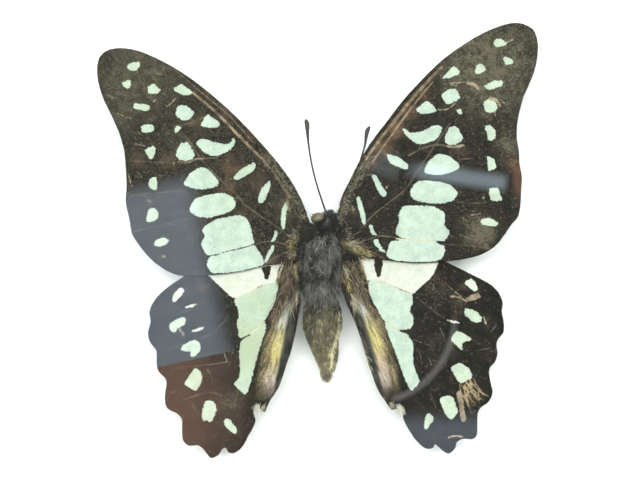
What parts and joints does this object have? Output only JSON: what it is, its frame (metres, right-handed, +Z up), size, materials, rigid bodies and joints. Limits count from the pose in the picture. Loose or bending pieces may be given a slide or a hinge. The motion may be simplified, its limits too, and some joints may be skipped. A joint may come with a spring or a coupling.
{
  "type": "framed butterfly specimen",
  "caption": "Spread dark butterfly with pale green spots, mounted on white card behind glass in a small wooden box frame.",
  "frame": {"origin": "middle of the frame's footprint, on the surface that its lower edge stands on", "axes": "+X across the frame to the viewer's right, +Y from the glass to the back, +Z up"},
  "size_m": [0.152, 0.03, 0.127],
  "materials": {
    "oak": "planed and matt lacquered",
    "glass": "clear float glass",
    "white_card": "matt white card",
    "hardboard": "pressed fibre, smooth face",
    "steel": "zinc plated",
    "wing": "dry scaled membrane with pale green windows",
    "body_hair": "dry hair",
    "eye": "dry shell, satin",
    "antenna": "dry shell, satin",
    "foam": "fine white foam"
  },
  "bodies": {
    "root": {"rail_bottom": "oak", "rail_left": "oak", "rail_top": "oak", "rail_right": "oak", "glass": "glass", "spacer_top": "white_card", "spacer_bottom": "white_card", "spacer_left": "white_card", "spacer_right": "white_card", "mount_board": "white_card", "back_panel": "hardboard", "point_bottom_1": "steel", "point_bottom_2": "steel", "point_top_1": "steel", "point_top_2": "steel", "hanger": "steel", "hanger_nail_left": "steel", "hanger_nail_right": "steel", "forewing_left": "wing", "forewing_right": "wing", "hindwing_left": "wing", "hindwing_right": "wing", "thorax": "body_hair", "abdomen": "body_hair", "head": "body_hair", "eye_left": "eye", "eye_right": "eye", "antenna_left": "antenna", "antenna_right": "antenna", "mounting_pad": "foam"}
  },
  "joints": []
}
